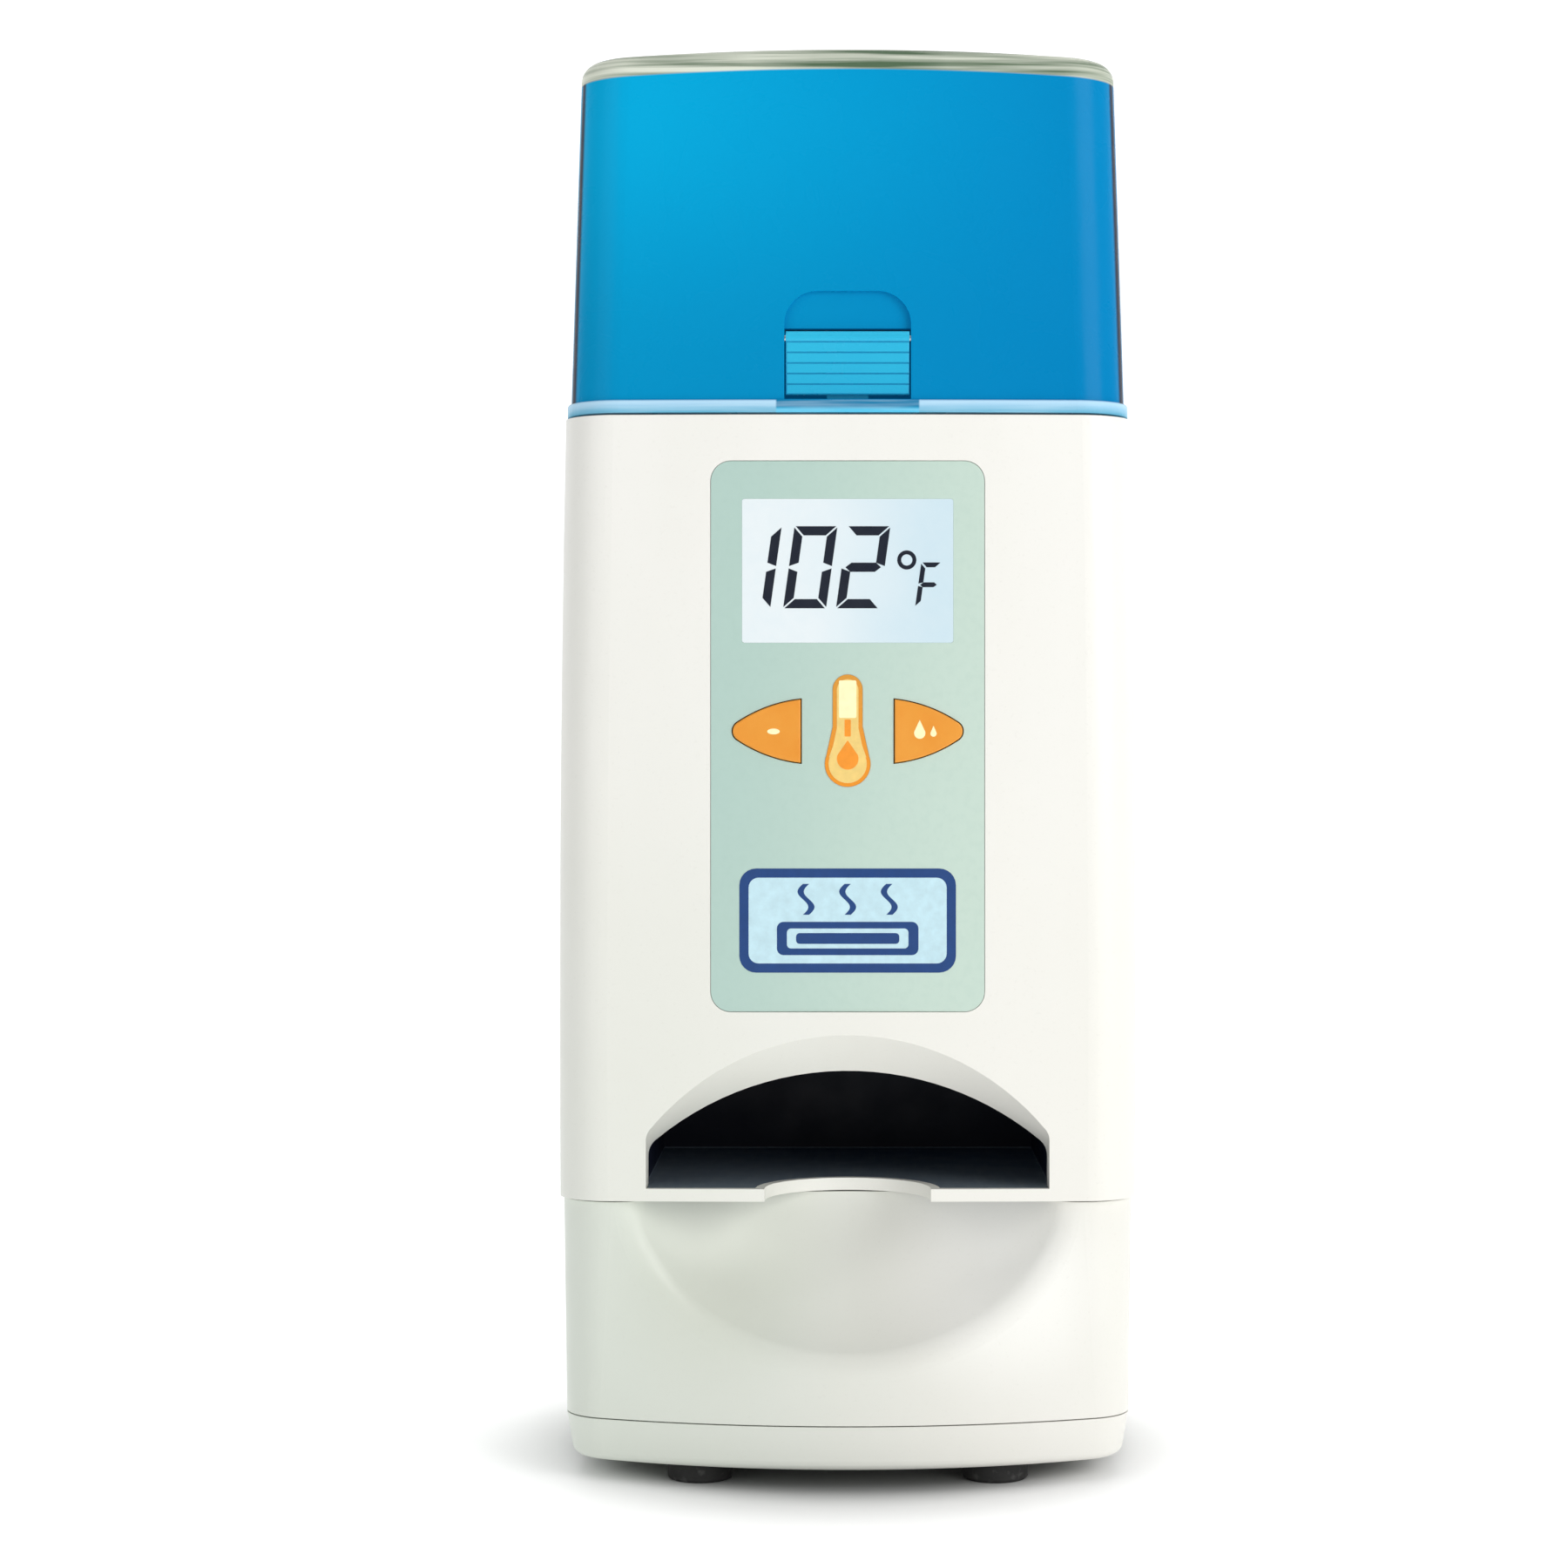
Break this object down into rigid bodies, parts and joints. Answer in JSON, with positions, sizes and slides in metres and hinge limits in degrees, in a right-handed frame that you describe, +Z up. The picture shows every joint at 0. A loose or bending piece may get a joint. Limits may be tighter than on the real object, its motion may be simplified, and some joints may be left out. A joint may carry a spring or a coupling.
{
  "type": "gel packet warmer dispenser",
  "caption": "Countertop warmer that heats flat gel packets in an upright magazine and gives them out one at a time through an arched mouth.",
  "frame": {"origin": "on the table, under the middle of the bounding box", "axes": "+Z up, front with the display and mouth towards -Y, +X to the right of someone facing the front"},
  "size_m": [0.1406, 0.118, 0.3487],
  "materials": {
    "housing_plastic": "warm white moulded ABS, satin gloss",
    "base_plastic": "slightly greyer white moulded ABS, satin",
    "black_rubber": "matt",
    "blue_lid": "transparent blue tinted, polished",
    "latch_blue": "transparent blue tinted, ribbed",
    "seal_rubber": "grey silicone, matt",
    "pin_steel": "drawn",
    "spring_steel": "spring temper",
    "chute_black": "black moulded, satin",
    "magazine_aluminium": "anodised sheet",
    "sleeve_plastic": "white moulded",
    "heater_silicone": "orange-red silicone with a woven face",
    "foam": "closed-cell foam",
    "sensor_black": "epoxy bead",
    "sensor_metal": "tinned",
    "key_orange": "orange moulded, satin",
    "part_black": "black moulded",
    "overlay_green": "sage green printed film, satin",
    "display_pale": "clear film over a pale display",
    "lens_amber": "amber diffusing lens",
    "lcd_glass": "liquid crystal cell",
    "backlight_white": "light guide",
    "frame_white": "white moulded",
    "board_green": "glass-epoxy board with green mask",
    "socket_white": "nylon",
    "transformer_steel": "varnished steel core and taped coil",
    "relay_blue": "blue moulded",
    "fuse_glass": "glass tube with caps",
    "fitting_black": "black nylon",
    "rocker_black": "black moulded, satin",
    "screw_steel": "zinc plated",
    "lead_red": "silicone insulated",
    "lead_black": "PVC insulated",
    "lead_grey": "PVC sleeve"
  },
  "bodies": {
    "cabinet": {"base_pan": "base_plastic", "base_screws": "screw_steel", "base_skirt": "base_plastic", "board_socket": "socket_white", "buzzer": "part_black", "contact_strips": "seal_rubber", "control_board": "board_green", "control_board_screws": "screw_steel", "controller_chip": "part_black", "deck_screws": "screw_steel", "dispensing_chute": "chute_black", "display_cable": "lead_grey", "display_window": "display_pale", "front_housing": "housing_plastic", "fuse_clips": "sensor_metal", "heat_indicator_lens": "lens_amber", "heated_magazine": "magazine_aluminium", "heater_leads": "lead_red", "heater_mat_left": "heater_silicone", "heater_mat_rear": "heater_silicone", "heater_mat_right": "heater_silicone", "heater_relay": "relay_blue", "hinge_pins": "pin_steel", "hopper_screws": "screw_steel", "hopper_sleeve": "sleeve_plastic", "housing_screws": "screw_steel", "indicator_led": "lens_amber", "inlet_pins": "sensor_metal", "insulation_left": "foam", "insulation_rear": "foam", "insulation_right": "foam", "keypad_overlay": "overlay_green", "latch_spring": "spring_steel", "latch_strike": "spring_steel", "lcd_backlight": "backlight_white", "lcd_frame": "frame_white", "lcd_glass": "lcd_glass", "lid_seal": "seal_rubber", "mains_fuse": "fuse_glass", "mains_leads": "lead_black", "power_board": "board_green", "power_board_screws": "screw_steel", "power_inlet": "fitting_black", "rear_housing": "housing_plastic", "rubber_feet": "black_rubber", "smoothing_capacitor": "part_black", "switch_case": "fitting_black", "tact_switches": "part_black", "temperature_sensor": "sensor_black", "terminal_block": "relay_blue", "thermal_cutoff": "sensor_metal", "transformer": "transformer_steel"},
    "lid": {"lid": "blue_lid", "latch_pin": "pin_steel"},
    "latch": {"lid_latch": "latch_blue"},
    "decrease_key": {"decrease_button": "key_orange", "decrease_plunger": "part_black"},
    "increase_key": {"increase_button": "key_orange", "increase_plunger": "part_black"},
    "switch_rocker": {"power_rocker": "rocker_black"}
  },
  "joints": [
    {"name": "lid_hinge", "type": "hinge", "parent": "cabinet", "child": "lid", "pos_m": [0, 0.0559, 0.2615], "axis": [-1, 0, 0], "range_deg": [0, 100], "deforming": ["latch_strike"]},
    {"name": "latch_press", "type": "hinge", "parent": "lid", "child": "latch", "pos_m": [0, -0.0515, 0.2767], "axis": [1, 0, 0], "range_deg": [0, 5.5], "stiffness_Nm_per_rad": 0.05, "springref_deg": -2.86, "deforming": ["latch_spring"]},
    {"name": "decrease_press", "type": "slide", "parent": "cabinet", "child": "decrease_key", "axis": [0, 1, 0], "range_m": [0, 0.0005], "stiffness_N_per_m": 1500, "springref_m": -0.0005},
    {"name": "increase_press", "type": "slide", "parent": "cabinet", "child": "increase_key", "axis": [0, 1, 0], "range_m": [0, 0.0005], "stiffness_N_per_m": 1500, "springref_m": -0.0005},
    {"name": "power_rocker_tilt", "type": "hinge", "parent": "cabinet", "child": "switch_rocker", "pos_m": [0.026, 0.0536, 0.038], "axis": [0, 0, -1], "range_deg": [0, 14]}
  ]
}
